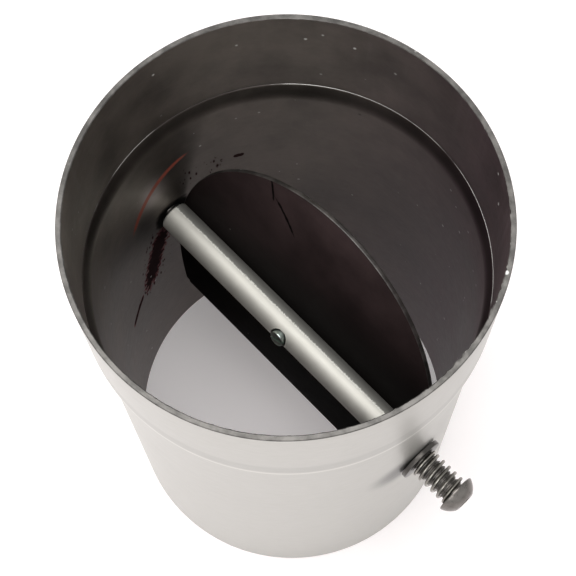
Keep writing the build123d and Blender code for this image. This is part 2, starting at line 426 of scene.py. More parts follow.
def wound_wire_tree():
    """A wire wound about +Z: dead turns at one pitch, then working turns at another."""
    tree, wiring, given = geometry_tree(
        "wound_wire",
        floats("Turns", "Pitch", "Dead Turns", "Dead Pitch", "Coil Radius", "Start Angle")
        + floats("Wire Width", "Wire Height", "Corner")
        + [("Steps", "NodeSocketInt"), ("Material", "NodeSocketMaterial")],
    )
    all_turns = wiring.math("ADD", given["Turns"], given["Dead Turns"])
    line = wiring.add("GeometryNodeMeshLine", {"Count": given["Steps"]})
    index = wiring.add("GeometryNodeInputIndex").outputs[0]
    last = wiring.math("SUBTRACT", given["Steps"], 1.0)
    turn = wiring.math("MULTIPLY", wiring.math("DIVIDE", index, last), all_turns)
    dead = wiring.math("MINIMUM", turn, given["Dead Turns"])
    live = wiring.math("SUBTRACT", turn, dead)
    dead_rise = wiring.math("MULTIPLY", dead, given["Dead Pitch"])
    rise = wiring.math("MULTIPLY_ADD", live, given["Pitch"], dead_rise)
    angle = wiring.math("MULTIPLY_ADD", turn, 2 * pi, given["Start Angle"])
    place = wiring.add(
        "ShaderNodeCombineXYZ",
        {
            "X": wiring.math("MULTIPLY", wiring.math("COSINE", angle), given["Coil Radius"]),
            "Y": wiring.math("MULTIPLY", wiring.math("SINE", angle), given["Coil Radius"]),
            "Z": rise,
        },
    ).outputs[0]
    moved = wiring.add("GeometryNodeSetPosition", {"Geometry": line.outputs[0], "Position": place})
    path = wiring.add("GeometryNodeMeshToCurve", {"Mesh": moved.outputs[0]}).outputs[0]
    level = wiring.add("GeometryNodeSetCurveNormal", {"Curve": path})
    level.mode = "Z_UP"
    section = wiring.add(
        "GeometryNodeCurvePrimitiveQuadrilateral",
        {"Width": given["Wire Width"], "Height": given["Wire Height"]},
    )
    rounded = wiring.add(
        "GeometryNodeFilletCurve",
        {"Curve": section.outputs[0], "Radius": given["Corner"], "Count": 4},
        mode="POLY",
    )
    wire = wiring.add(
        "GeometryNodeCurveToMesh",
        {"Curve": level.outputs[0], "Profile Curve": rounded.outputs[0], "Fill Caps": True},
    )
    close_tree(wiring, wire.outputs[0], given["Material"])
    return tree


def screw_thread_tree():
    """Sinks a screw thread into a rod that carries its length and turn on each vertex."""
    tree, wiring, given = geometry_tree(
        "screw_thread",
        floats("Start", "End", "Pitch", "Depth") + [("Material", "NodeSocketMaterial")],
    )
    along = wiring.add("GeometryNodeInputNamedAttribute", {"Name": "along"}).outputs[0]
    around = wiring.add("GeometryNodeInputNamedAttribute", {"Name": "around"}).outputs[0]
    phase = wiring.math("SUBTRACT", wiring.math("DIVIDE", along, given["Pitch"]), around)
    wave = wiring.math("PINGPONG", phase, 0.5)
    root = wiring.ramp(wave, 0.06, 0.42, ease="SMOOTHSTEP")
    begun = wiring.math("SUBTRACT", along, given["Start"])
    left = wiring.math("SUBTRACT", given["End"], along)
    inside = wiring.math("DIVIDE", wiring.math("MINIMUM", begun, left), given["Pitch"])
    fade = wiring.math("MINIMUM", wiring.math("MAXIMUM", inside, 0.0), 1.0)
    depth = wiring.math("MULTIPLY", wiring.math("MULTIPLY", root, fade), given["Depth"])
    normal = wiring.add("GeometryNodeInputNormal").outputs[0]
    sink = wiring.add(
        "ShaderNodeVectorMath",
        {0: normal, "Scale": wiring.math("MULTIPLY", depth, -1.0)},
        operation="SCALE",
    ).outputs[0]
    moved = wiring.add("GeometryNodeSetPosition", {"Geometry": given["Geometry"], "Offset": sink})
    close_tree(wiring, moved.outputs[0], given["Material"])
    return tree


def shaped(mesh, tree, values):
    """Run a mesh through a geometry tree with named values, and give the plain mesh that results."""
    made = bpy.data.objects.new("shaped", mesh)
    bpy.context.scene.collection.objects.link(made)
    modifier = made.modifiers.new("shape", "NODES")
    modifier.node_group = tree
    for item in tree.interface.items_tree:
        if item.in_out == "INPUT" and item.name in values:
            modifier[item.identifier] = values[item.name]
    made.update_tag()
    return evaluated(made)


def tree_named(name, make):
    """A node tree that is built once and used again."""
    return bpy.data.node_groups.get(name) or make()


def wound(values, matrix, height):
    """A coil with these sizes, whose wire starts at a height along a matrix's Z axis."""
    coil = shaped(bpy.data.meshes.new("coil"), tree_named("wound_wire", wound_wire_tree), values)
    coil.transform(matrix @ Matrix.Translation((0, 0, height)))
    return coil


def threaded(mesh, start, end, sizes, material):
    """Cut the standard thread into a rod between two lengths."""
    values = {
        "Start": start,
        "End": end,
        "Pitch": sizes.thread_pitch,
        "Depth": sizes.thread_depth,
        "Material": material,
    }
    return shaped(mesh, tree_named("screw_thread", screw_thread_tree), values)


# ================================================================ shader node groups
def shader_group(name, inputs, outputs):
    """An empty shader group with named inputs and outputs."""
    group = bpy.data.node_groups.new(name, "ShaderNodeTree")
    for label, kind, default in inputs:
        socket = group.interface.new_socket(label, in_out="INPUT", socket_type=kind)
        socket.default_value = default
    for label, kind in outputs:
        group.interface.new_socket(label, in_out="OUTPUT", socket_type=kind)
    wiring = Wiring(group)
    return group, wiring, wiring.add("NodeGroupInput").outputs


def mottle_group():
    """Cloudy colour change, as rolled and handled steel has."""
    group, wiring, given = shader_group(
        "mottle",
        [
            ("Vector", "NodeSocketVector", (0, 0, 0)),
            ("Scale", "NodeSocketFloat", 60.0),
            ("Contrast", "NodeSocketFloat", 0.5),
            ("Low", "NodeSocketColor", (0, 0, 0, 1)),
            ("High", "NodeSocketColor", (1, 1, 1, 1)),
        ],
        [("Colour", "NodeSocketColor"), ("Value", "NodeSocketFloat")],
    )
    clouds = wiring.add(
        "ShaderNodeTexNoise",
        {"Vector": given["Vector"], "Scale": given["Scale"], "Detail": 5.0, "Roughness": 0.6},
    ).outputs[0]
    spread = wiring.math("MULTIPLY", wiring.math("SUBTRACT", clouds, 0.5), given["Contrast"])
    value = wiring.add(
        "ShaderNodeMath", {0: spread, 1: 4.0, 2: 0.5}, operation="MULTIPLY_ADD", use_clamp=True
    ).outputs[0]
    colour = mixed(wiring, value, given["Low"], given["High"])
    wiring.add("NodeGroupOutput", {"Colour": colour, "Value": value})
    return group


def grain_group():
    """Fine lines drawn out along one direction, as a height."""
    group, wiring, given = shader_group(
        "drawn_grain",
        [
            ("Vector", "NodeSocketVector", (0, 0, 0)),
            ("Stretch", "NodeSocketVector", (1, 1, 1)),
            ("Scale", "NodeSocketFloat", 900.0),
        ],
        [("Height", "NodeSocketFloat")],
    )
    drawn = wiring.vector("MULTIPLY", given["Vector"], given["Stretch"])
    lines = wiring.add(
        "ShaderNodeTexNoise",
        {"Vector": drawn, "Scale": given["Scale"], "Detail": 3.0, "Roughness": 0.65},
    ).outputs[0]
    wiring.add("NodeGroupOutput", {"Height": lines})
    return group


def specks_group():
    """Scattered small round specks, as a mask."""
    group, wiring, given = shader_group(
        "specks",
        [
            ("Vector", "NodeSocketVector", (0, 0, 0)),
            ("Scale", "NodeSocketFloat", 100.0),
            ("Size", "NodeSocketFloat", 0.1),
            ("Share", "NodeSocketFloat", 0.2),
        ],
        [("Mask", "NodeSocketFloat")],
    )
    cells = wiring.add("ShaderNodeTexVoronoi", {"Vector": given["Vector"], "Scale": given["Scale"]})
    chance = wiring.add("ShaderNodeSeparateColor", {"Color": cells.outputs["Color"]}).outputs[0]
    size = wiring.math("MULTIPLY", chance, wiring.math("DIVIDE", given["Size"], given["Share"]))
    size = wiring.math("MULTIPLY", size, wiring.math("LESS_THAN", chance, given["Share"]))
    core = wiring.math("MULTIPLY", size, 0.5)
    mask = wiring.ramp(cells.outputs["Distance"], core, wiring.math("ADD", size, 0.0001), 1.0, 0.0)
    present = wiring.math("GREATER_THAN", size, 0.0)
    wiring.add("NodeGroupOutput", {"Mask": wiring.math("MULTIPLY", mask, present)})
    return group


def wall_place_group():
    """Where a point lies on the duct's wall: its way round from the handle's side, and its height."""
    group, wiring, given = shader_group(
        "wall_place",
        [("Vector", "NodeSocketVector", (0, 0, 0)), ("Radius", "NodeSocketFloat", 0.075)],
        [("Vector", "NodeSocketVector")],
    )
    parts = wiring.parts(given["Vector"])
    angle = wiring.math("ARCTAN2", negative(wiring, parts[1]), negative(wiring, parts[0]))
    way = wiring.math("MULTIPLY", angle, given["Radius"])
    place = wiring.add("ShaderNodeCombineXYZ", {"X": way, "Y": parts[2]}).outputs[0]
    wiring.add("NodeGroupOutput", {"Vector": place})
    return group


def streak_group():
    """A bowed streak with ragged edges on a flat or unrolled surface, as a mask."""
    group, wiring, given = shader_group(
        "streak",
        [
            ("Vector", "NodeSocketVector", (0, 0, 0)),
            ("Centre", "NodeSocketVector", (0, 0, 0)),
            ("Lean", "NodeSocketFloat", 0.0),
            ("Bow", "NodeSocketFloat", 0.0),
            ("Half Length", "NodeSocketFloat", 0.01),
            ("Half Width", "NodeSocketFloat", 0.001),
            ("Raggedness", "NodeSocketFloat", 0.5),
        ],
        [("Mask", "NodeSocketFloat")],
    )
    turn = wiring.add(
        "ShaderNodeVectorRotate",
        {
            "Vector": given["Vector"],
            "Center": given["Centre"],
            "Angle": negative(wiring, given["Lean"]),
        },
        rotation_type="Z_AXIS",
    ).outputs[0]
    parts = wiring.parts(wiring.vector("SUBTRACT", turn, given["Centre"]))
    end = wiring.math("POWER", wiring.math("DIVIDE", parts[0], given["Half Length"]), 2.0)
    sag = wiring.math("MULTIPLY", wiring.math("SUBTRACT", 1.0, end), given["Bow"])
    off = wiring.math("DIVIDE", wiring.math("SUBTRACT", parts[1], sag), given["Half Width"])
    reach = wiring.math("ADD", wiring.math("POWER", off, 2.0), wiring.math("POWER", end, 2.0))
    rough = wiring.add(
        "ShaderNodeTexNoise", {"Vector": given["Vector"], "Scale": 420.0, "Detail": 4.0}
    ).outputs[0]
    ragged = wiring.math("MULTIPLY", wiring.math("SUBTRACT", rough, 0.5), given["Raggedness"])
    edge = wiring.math("MULTIPLY_ADD", ragged, 4.0, wiring.math("SQRT", reach))
    mask = wiring.ramp(edge, 0.6, 1.0, 1.0, 0.0, "SMOOTHSTEP")
    wiring.add("NodeGroupOutput", {"Mask": mask})
    return group


def negative(wiring, value):
    """A value with its sign changed."""
    return wiring.math("MULTIPLY", value, -1.0)


def mixed(wiring, factor, low, high):
    """A colour between two, by a factor."""
    inputs = {0: factor, 6: opaque(low), 7: opaque(high)}
    return wiring.add("ShaderNodeMix", inputs, data_type="RGBA").outputs[2]


def opaque(colour):
    """A plain colour with its alpha; a socket is passed on as it is."""
    return colour if isinstance(colour, bpy.types.NodeSocket) else (*tuple(colour)[:3], 1.0)


def scaled(colour, factor):
    """A colour made lighter or darker."""
    return tuple(channel * factor for channel in tuple(colour)[:3])


def use_group(wiring, name, make, inputs):
    """Place a shader group, building it the first time."""
    return wiring.add("ShaderNodeGroup", inputs, node_tree=tree_named(name, make)).outputs


# ================================================================ materials
def new_material(name):
    """A material with an empty Principled shader; gives the material, wiring, shader and coordinates."""
    material = bpy.data.materials.new(name)
    material.use_nodes = True
    wiring = Wiring(material.node_tree)
    shader = material.node_tree.nodes["Principled BSDF"]
    place = wiring.add("ShaderNodeTexCoord").outputs["Object"]
    return material, wiring, shader, place


def link(wiring, value, socket):
    """Join an output to an input."""
    wiring.tree.links.new(value, socket)


def driving(shader, name):
    """The output that drives one of a shader's inputs."""
    return shader.inputs[name].links[0].from_socket


def laid_over(wiring, colour, mask, share, other):
    """A colour with another laid over it, as far as a share of a mask."""
    return mixed(wiring, wiring.math("MULTIPLY", mask, share), colour, other)


def bumped(wiring, shader, height, strength, distance):
    """Drive the shader's normal from a height."""
    bump = wiring.add(
        "ShaderNodeBump", {"Strength": strength, "Distance": distance, "Height": height}
    )
    link(wiring, bump.outputs[0], shader.inputs["Normal"])


def steel(name, colour, roughness=0.35, metallic=1.0, cloud=60.0, contrast=0.5, spread=0.12,
          stretch=(1, 1, 1), grain=900.0, bump=0.05, bump_distance=0.1 * MM):
    """A metal finish with cloudy colour, drawn grain and roughness that varies with both."""
    material, wiring, shader, place = new_material(name)
    clouds = use_group(wiring, "mottle", mottle_group, {
        "Vector": place,
        "Scale": cloud,
        "Contrast": contrast,
        "Low": opaque(scaled(colour, 1 - spread)),
        "High": opaque(scaled(colour, 1 + spread)),
    })
    lines = use_group(wiring, "drawn_grain", grain_group, {
        "Vector": place,
        "Stretch": stretch,
        "Scale": grain,
    })["Height"]
    link(wiring, clouds["Colour"], shader.inputs["Base Color"])
    shader.inputs["Metallic"].default_value = metallic
    rough = wiring.math("MULTIPLY_ADD", lines, 0.16, roughness - 0.08)
    rough = wiring.math("MULTIPLY_ADD", clouds["Value"], 0.06, rough)
    link(wiring, rough, shader.inputs["Roughness"])
    bumped(wiring, shader, lines, bump, bump_distance)
    return material, wiring, shader, place


def outside_steel(finish):
    """Satin skin of the duct, with a painted highlight and painted shade along the socket's lower edge, and
    painted shade beside the washer.
    """
    material, wiring, shader, place = steel(
        "duct_outside", finish.outside, roughness=0.36, metallic=0.85, cloud=14.0,
        contrast=0.35, spread=0.05, stretch=(0.3, 0.3, 2.0), grain=500.0, bump=0.03,
    )
    colour = driving(shader, "Base Color")
    height = wiring.parts(place)[2]
    edge = duct_length - socket_depth
    # Painted highlight just below the socket's lower edge and painted shade just above it, in place of the
    # ridge's own light and shade.
    painted_ridge_highlight = band(wiring, height, edge - 0.6 * MM, 3.4 * MM)
    dark = band(wiring, height, edge + 6.5 * MM, 6.0 * MM)
    colour = laid_over(wiring, colour, dark, 0.8, scaled(finish.outside, 0.84))
    colour = mixed(wiring, painted_ridge_highlight, colour, scaled(finish.outside, 1.3))
    # Painted shade on the wall beside the washer, where the friction set darkens it.
    beside_washer = Vector((duct_outer_radius, -8 * MM, shaft_centre.z + 5 * MM))
    away = wiring.vector("DISTANCE", place, beside_washer)
    painted_washer_shade = wiring.ramp(away, 4 * MM, 22 * MM, 0.8, 0.0, "SMOOTHERSTEP")
    colour = mixed(wiring, painted_washer_shade, colour, scaled(finish.outside, 0.1))
    link(wiring, colour, shader.inputs["Base Color"])
    return material


def band(wiring, value, middle, half_width):
    """A soft band about one value, as a mask."""
    off = wiring.math("ABSOLUTE", wiring.math("SUBTRACT", value, middle))
    return wiring.ramp(off, half_width * 0.4, half_width, 1.0, 0.0, "SMOOTHSTEP")


def streak(wiring, place, centre, lean, bow, half_length, half_width, raggedness):
    """A streak's mask, with its centre and sizes in millimetres and its lean in degrees."""
    return use_group(wiring, "streak", streak_group, {
        "Vector": place,
        "Centre": (centre[0] * MM, centre[1] * MM, 0),
        "Lean": radians(lean),
        "Bow": bow * MM,
        "Half Length": half_length * MM,
        "Half Width": half_width * MM,
        "Raggedness": raggedness,
    })["Mask"]


def patch(wiring, place, centre, reach):
    """A soft round patch's mask, with its centre and its reach each way in millimetres."""
    offset = wiring.vector("SUBTRACT", place, (centre[0] * MM, centre[1] * MM, 0))
    share = wiring.vector("MULTIPLY", offset, (1 / reach[0] / MM, 1 / reach[1] / MM, 0))
    return wiring.ramp(wiring.vector("LENGTH", share), 0.0, 1.0, 1.0, 0.0, "SMOOTHERSTEP")


def specks(wiring, place, scale, size, share):
    """A mask of scattered specks."""
    inputs = {"Vector": place, "Scale": scale, "Size": size, "Share": share}
    return use_group(wiring, "specks", specks_group, inputs)["Mask"]


def painted_bore_shading(wiring, place, colour):
    """Painted light and shade on the bore: lighter and greener on the handle's side, darker and redder
    opposite, and darker lower down.
    """
    parts = wiring.parts(place)
    share = wiring.ramp(parts[0], -50 * MM, 30 * MM)
    painted_shading_factor = mixed(wiring, share, (1.0, 1.0, 0.88), (0.70, 0.56, 0.60))
    height = wiring.ramp(parts[2], 80 * MM, 230 * MM)
    depth = mixed(wiring, height, (0.58, 0.56, 0.60), (1.1, 1.1, 1.1))
    return product(wiring, product(wiring, colour, painted_shading_factor), depth)


def product(wiring, colour, other):
    """Two colours multiplied."""
    inputs = {0: 1.0, 6: colour, 7: other}
    return wiring.add("ShaderNodeMix", inputs, data_type="RGBA", blend_type="MULTIPLY").outputs[2]


def oiled_steel(name, finish):
    """The bare steel of the bore and the cone, before what lies on it."""
    made = steel(
        name, finish.inside, roughness=0.42, metallic=0.9, cloud=34.0, contrast=0.8,
        spread=0.24, stretch=(0.6, 0.6, 1.4), grain=420.0, bump=0.05,
    )
    made[2].inputs["Specular IOR Level"].default_value = 0.08
    return made


def inside_steel(finish):
    """Oiled inside of the duct, with specks, a thin rust line and dark red stains, and painted light and
    shade: a light patch, a dark patch and a near black shadow about the handle's hole, over the bore's
    painted side and depth shading.
    """
    material, wiring, shader, place = oiled_steel("duct_inside", finish)
    wall = use_group(wiring, "wall_place", wall_place_group, {
        "Vector": place, "Radius": duct_radius,
    })["Vector"]
    rust_line = streak(wiring, wall, (4.8, 155.2), -35.6, 5.0, 24, 2.1, 0.10)
    main_stain = streak(wiring, wall, (14, 97), -67, 0.6, 25, 7.2, 0.34)
    stain_tail = streak(wiring, wall, (35, 76), -30, 0, 9, 2.4, 0.25)
    upper_spots = streak(wiring, wall, (-17, 146), 20, 0, 12, 9, 0.3)
    lower_spots = streak(wiring, wall, (14, 96), -68, 0, 34, 13, 0.3)
    far_spot = streak(wiring, wall, (-35.3, 146), 5, 0, 2.6, 1.8, 0.2)
    stain = wiring.math("MAXIMUM", main_stain, stain_tail)
    stretched = wiring.vector("MULTIPLY", place, (0.8, 1.4, 0.5))
    spatter = wiring.math("MAXIMUM", upper_spots, lower_spots)
    spatter = wiring.math("MULTIPLY", spatter, specks(wiring, stretched, 430.0, 0.55, 0.9))
    spatter = wiring.math("MAXIMUM", spatter, far_spot)
    # Painted shadow, near black, round the hole on the handle's side.
    painted_hole_shadow = streak(wiring, wall, (0, shaft_centre.z / MM), 0, 0, 10.5, 10.5, 0.1)
    # A painted patch of light and a painted patch of shade near the handle's hole.
    painted_light_patch = patch(wiring, wall, (7, 157), (13, 20))
    painted_shade_patch = patch(wiring, wall, (15, 138), (14, 16))
    white = specks(wiring, place, 190.0, 0.17, 0.3)
    pits = specks(wiring, place, 130.0, 0.13, 0.10)
    # Painted light and shade across the bore and down it.
    colour = painted_bore_shading(wiring, place, driving(shader, "Base Color"))
    colour = laid_over(wiring, colour, painted_light_patch, 0.7, scaled(finish.inside, 1.9))
    colour = laid_over(wiring, colour, painted_shade_patch, 0.6, scaled(finish.inside, 0.2))
    colour = laid_over(wiring, colour, pits, 0.6, scaled(finish.inside, 0.25))
    colour = laid_over(wiring, colour, spatter, 0.9, scaled(finish.stain, 0.6))
    colour = mixed(wiring, painted_hole_shadow, colour, scaled(finish.inside, 0.03))
    # The stain dries to near black where it is thickest.
    depth = wiring.ramp(stain, 0.5, 1.0)
    dried = mixed(wiring, depth, scaled(finish.stain, 5.0), scaled(finish.stain, 0.4))
    colour = mixed(wiring, stain, colour, dried)
    colour = laid_over(wiring, colour, rust_line, 0.9, finish.rust)
    colour = laid_over(wiring, colour, white, 0.7, (0.6, 0.6, 0.57))
    link(wiring, colour, shader.inputs["Base Color"])
    dusty = wiring.math("MAXIMUM", rust_line, white)
    link(wiring, wiring.math("MULTIPLY_ADD", dusty, -0.9, 0.9), shader.inputs["Metallic"])
    rough = driving(shader, "Roughness")
    dull = wiring.math("MAXIMUM", wiring.math("MAXIMUM", stain, spatter), painted_hole_shadow)
    link(wiring, wiring.math("MULTIPLY_ADD", dull, 0.45, rough), shader.inputs["Roughness"])
    return material


def cone_steel(finish):
    """The swage's cone, with painted shade darkening it towards its top under the socket's ledge."""
    material, wiring, shader, place = oiled_steel("duct_cone", finish)
    colour = painted_bore_shading(wiring, place, driving(shader, "Base Color"))
    height = wiring.parts(place)[2]
    top = duct_length - socket_depth
    # Painted shade under the socket's ledge.
    dark = wiring.ramp(height, top - inner_blend_height, top - 3 * MM, ease="SMOOTHSTEP")
    painted_shading_factor = mixed(wiring, dark, (1, 1, 1), (0.4, 0.4, 0.4))
    link(wiring, product(wiring, colour, painted_shading_factor), shader.inputs["Base Color"])
    return material


def step_line_steel(finish):
    """The swage's sharp shoulder, dark, with lighter stretches broken up at random."""
    material, wiring, shader, place = steel(
        "duct_shoulder", scaled(finish.inside, 0.3), roughness=0.3, metallic=0.9, cloud=22.0, contrast=0.6,
    )
    colour = driving(shader, "Base Color")
    lighter_stretches = use_group(wiring, "mottle", mottle_group, {
        "Vector": place, "Scale": 24.0, "Contrast": 4.0,
    })["Value"]
    link(wiring, mixed(wiring, lighter_stretches, colour, (0.34, 0.335, 0.32)), shader.inputs["Base Color"])
    return material


def cut_edge_steel(finish):
    """Sheared steel, with pale specks and darker pores."""
    material, wiring, shader, place = steel(
        "cut_edge", finish.cut_edge, roughness=0.42, metallic=0.85, cloud=160.0, contrast=1.1,
        spread=0.35, grain=700.0, bump=0.25, bump_distance=0.2 * MM,
    )
    colour = driving(shader, "Base Color")
    pale_specks = use_group(wiring, "specks", specks_group, {
        "Vector": place, "Scale": 210.0, "Size": 0.32, "Share": 0.12,
    })["Mask"]
    link(wiring, mixed(wiring, pale_specks, colour, (0.6, 0.6, 0.58)), shader.inputs["Base Color"])
    return material


def blade_steel(finish):
    """Dull dark brown sheet, near black at and below the shaft from painted shade that fades out up the
    blade, with a scratch and some dust.
    """
    material, wiring, shader, place = steel(
        "blade_sheet", finish.blade, roughness=0.5, metallic=0.0, cloud=30.0, contrast=0.9,
        spread=0.3, stretch=(0.4, 1.6, 1.6), grain=380.0, bump=0.05,
    )
    parts = wiring.parts(place)
    # Height above the shaft, measured up the blade.
    up = wiring.math("DIVIDE", wiring.math("SUBTRACT", parts[2], shaft_centre.z), sin(blade_tilt))
    # Painted shade: the sheet turns near black at and below the shaft and fades to its own colour up the
    # blade.
    shade_reach = wiring.math("MULTIPLY_ADD", parts[0], -0.15, up)
    share = wiring.ramp(shade_reach, 4 * MM, 60 * MM, ease="SMOOTHSTEP")
    unshaded_sheet = driving(shader, "Base Color")
    colour = mixed(wiring, share, scaled(finish.blade, 0.06), unshaded_sheet)
    flat = wiring.add("ShaderNodeCombineXYZ", {"X": parts[0], "Y": up}).outputs[0]
    scratch = streak(wiring, flat, (-33.5, 58.5), -68, 0.4, 6.5, 0.7, 0.25)
    scratch = wiring.math("MAXIMUM", scratch, streak(wiring, flat, (-24, 50.5), -38, 0.8, 10, 0.8, 0.3))
    dust = specks(wiring, place, 190.0, 0.12, 0.16)
    colour = laid_over(wiring, colour, dust, 0.35, (0.3, 0.28, 0.26))
    colour = mixed(wiring, scratch, colour, scaled(finish.blade, 0.05))
    link(wiring, colour, shader.inputs["Base Color"])
    shader.inputs["Specular IOR Level"].default_value = 0.08
    return material


def bright_steel(finish):
    """Bright drawn bar, with a pale line along it and painted shade on the side past the line."""
    material, wiring, shader, place = steel(
        "bright_bar", finish.bright_bar, roughness=0.66, cloud=120.0, contrast=0.5, spread=0.06,
        stretch=(0.03, 1, 1), grain=2600.0, bump=0.03,
    )
    parts = wiring.parts(place)
    turn = wiring.math("ARCTAN2", parts[1], wiring.math("SUBTRACT", parts[2], shaft_centre.z))
    nicks = wiring.add("ShaderNodeTexNoise", {"Vector": place, "Scale": 1500.0}).outputs[0]
    turn = wiring.math("MULTIPLY_ADD", wiring.math("SUBTRACT", nicks, 0.5), 0.25, turn)
    colour = driving(shader, "Base Color")
    # Painted shade on the side of the bar past the pale line.
    dull = wiring.ramp(turn, radians(12), radians(16))
    off_line = wiring.math("ABSOLUTE", wiring.math("SUBTRACT", turn, radians(11)))
    line = wiring.ramp(off_line, radians(1), radians(3), 0.5, 0.0)
    colour = mixed(wiring, dull, colour, scaled(finish.bright_bar, 0.5))
    colour = mixed(wiring, line, colour, (0.95, 0.95, 0.9))
    link(wiring, colour, shader.inputs["Base Color"])
    return material


def black_steel(finish):
    """Black oxide, rubbed grey in places."""
    return steel("black_oxide", finish.black_oxide, roughness=0.26, cloud=200.0, contrast=0.8,
                 spread=0.22, grain=1400.0, bump=0.1)[0]


def painted_shade_black_steel(finish):
    """The black oxide of the washer and the screw's shank, darkened with painted shade where the head and
    spring shade them.
    """
    return steel("shaded_oxide", scaled(finish.black_oxide, 0.45), roughness=0.3, cloud=260.0,
                 contrast=0.8, spread=0.3, grain=1400.0, bump=0.12)[0]


def wire_steel(finish):
    """Tempered spring wire, dark and fairly glossy."""
    return steel("spring_wire", finish.spring_wire, roughness=0.16, cloud=240.0, contrast=0.8,
                 spread=0.3, grain=1600.0, bump=0.06)[0]


def zinc_steel(finish):
    """Greenish zinc plating."""
    return steel("zinc_plate", finish.zinc, roughness=0.3, cloud=300.0, contrast=0.7,
                 spread=0.2, grain=1500.0, bump=0.08)[0]


def material_named(name, make, finish):
    """A material that is built once and used again."""
    return bpy.data.materials.get(name) or make(finish)


# ================================================================ pieces
class DAMPER_OT_duct(bpy.types.Operator):
    """Build the duct section: straight pipe, swage, socket and cut rims"""

    bl_idname = "damper.duct"
    bl_label = "Duct section"

    def outline(self):
        """The wall's section as (height, radius, material index), up the outside and down the bore."""
        outer, inner, edge, shoulder, cone = range(5)
        socket_start = duct_length - socket_depth
        steps = 14
        below, above = shaft_centre.z - hole_border, shaft_centre.z + hole_border
        points = [(rim_chamfer, duct_outer_radius, outer)]
        points += [(below, duct_outer_radius, outer), (above, duct_outer_radius, outer)]
        points += self.swage(socket_start, duct_outer_radius, socket_outer_radius, steps, outer)
        points += [(duct_length - rim_border, socket_outer_radius, outer)]
        points += [(duct_length - rim_chamfer, socket_outer_radius, edge)]
        points += [(duct_length, socket_outer_radius - rim_chamfer, edge)]
        points += [(duct_length, (socket_outer_radius + socket_radius) / 2, edge)]
        points += [(duct_length, socket_radius + rim_chamfer, edge)]
        points += [(duct_length - rim_chamfer, socket_radius, inner)]
        points += [(duct_length - rim_border, socket_radius, inner)]
        points += [(socket_start, socket_radius, shoulder)]
        ledge = socket_radius - shoulder_ledge
        down = self.inner_blend(socket_start - shoulder_drop, ledge, steps, cone)
        points += down[:0:-1]
        points += [(socket_start - inner_blend_height, duct_radius, inner)]
        points += [(above, duct_radius, inner), (below, duct_radius, inner)]
        points += [(rim_chamfer, duct_radius, edge)]
        points += [(0, duct_radius + rim_chamfer, edge), (0, duct_outer_radius - rim_chamfer, edge)]
        return points

    def swage(self, top, low_radius, high_radius, steps, index):
        """The outside's step from one radius to the other, eased at both ends."""
        points = []
        for i in range(steps + 1):
            share = i / steps
            eased = share * share * (3 - 2 * share)
            height = top - swage_height * (1 - share)
            points.append((height, low_radius + (high_radius - low_radius) * eased, index))
        return points

    def inner_blend(self, top, ledge, steps, index):
        """The bore's long blend up to the socket's floor, sharp at its top."""
        points = []
        for i in range(steps + 1):
            share = i / steps
            height = top - inner_blend_height * (1 - share)
            points.append((height, duct_radius + (ledge - duct_radius) * share * share, index))
        return points

    def roughen_rim(self, mesh, sizes):
        """Draw the inner edge of the socket's rim into a ragged burr."""
        inner_edge = socket_radius + rim_chamfer * 1.5
        for vertex in mesh.vertices:
            flat = Vector((vertex.co.x, vertex.co.y))
            if vertex.co.z < duct_length - rim_chamfer * 1.5 or flat.length > inner_edge:
                continue
            ragged = noise.noise(vertex.co * 420) + 0.6 * noise.noise(vertex.co * 1100)
            # The burr is heavier on the side between the friction set and the blade's high edge.
            side = max(0.0, cos(atan2(flat.y, flat.x) - radians(20))) ** 8
            inward = flat.normalized() * max(0.0, ragged) * sizes.burr_height * (0.25 + side)
            vertex.co -= Vector((inward.x, inward.y, 0))

    def execute(self, context):
        sizes = context.scene.damper_sizes
        finish = context.scene.damper_finish
        mesh = turned("duct", self.outline(), Matrix.Identity(4), sizes.duct_segments, closed=True)
        painted(
            mesh,
            material_named("duct_outside", outside_steel, finish),
            material_named("duct_inside", inside_steel, finish),
            material_named("cut_edge", cut_edge_steel, finish),
            material_named("duct_shoulder", step_line_steel, finish),
            material_named("duct_cone", cone_steel, finish),
        )
        self.roughen_rim(mesh, sizes)
        reach = socket_outer_radius
        mesh = drilled(mesh, along_shaft, wall_hole_radius, -reach, reach, index=2)
        finished("duct_shell", mesh, "duct", "pipe_steel", "flue_pipe")
        return {"FINISHED"}


class DAMPER_OT_blade(bpy.types.Operator):
    """Build the blade: a disc cut off straight below the shaft"""

    bl_idname = "damper.blade"
    bl_label = "Blade"

    def execute(self, context):
        finish = context.scene.damper_finish
        bm = bmesh.new()
        half_gap = atan2(sqrt(blade_radius ** 2 - blade_chord ** 2), blade_chord)
        start = -pi / 2 + half_gap
        sweep = 2 * pi - 2 * half_gap
        steps = 240
        angles = [start + sweep * i / steps for i in range(steps + 1)]
        corners = [bm.verts.new((blade_radius * cos(a), blade_radius * sin(a), 0)) for a in angles]
        bm.faces.new(corners)
        bmesh.ops.bevel(
            bm, geom=[corners[0], corners[-1]], offset=blade_corner, segments=6, affect="VERTICES"
        )
        grown = bmesh.ops.extrude_face_region(bm, geom=list(bm.faces))
        lifted = [item for item in grown["geom"] if isinstance(item, bmesh.types.BMVert)]
        bmesh.ops.translate(bm, verts=lifted, vec=(0, 0, blade_thickness))
        bmesh.ops.recalc_face_normals(bm, faces=bm.faces)
        rims = [e for e in bm.edges if e.calc_face_angle(0) > radians(60)]
        bmesh.ops.bevel(bm, geom=rims, offset=0.3 * MM, segments=3, profile=0.5, affect="EDGES")
        for face in bm.faces:
            face.material_index = 0 if abs(face.normal.z) > 0.999 else 1
        lie = off_blade @ Matrix.Translation((0, 0, -blade_back))
        mesh = as_mesh(bm, "blade", lie)
        painted(
            mesh,
            material_named("blade_sheet", blade_steel, finish),
            material_named("cut_edge", cut_edge_steel, finish),
        )
        hole = blade_screw_radius + screw_clearance
        mesh = drilled(mesh, off_blade, hole, -10 * MM, 10 * MM, segments=32, index=1)
        finished("blade_plate", mesh, "damper", "blade_steel", "damper_blade")
        return {"FINISHED"}


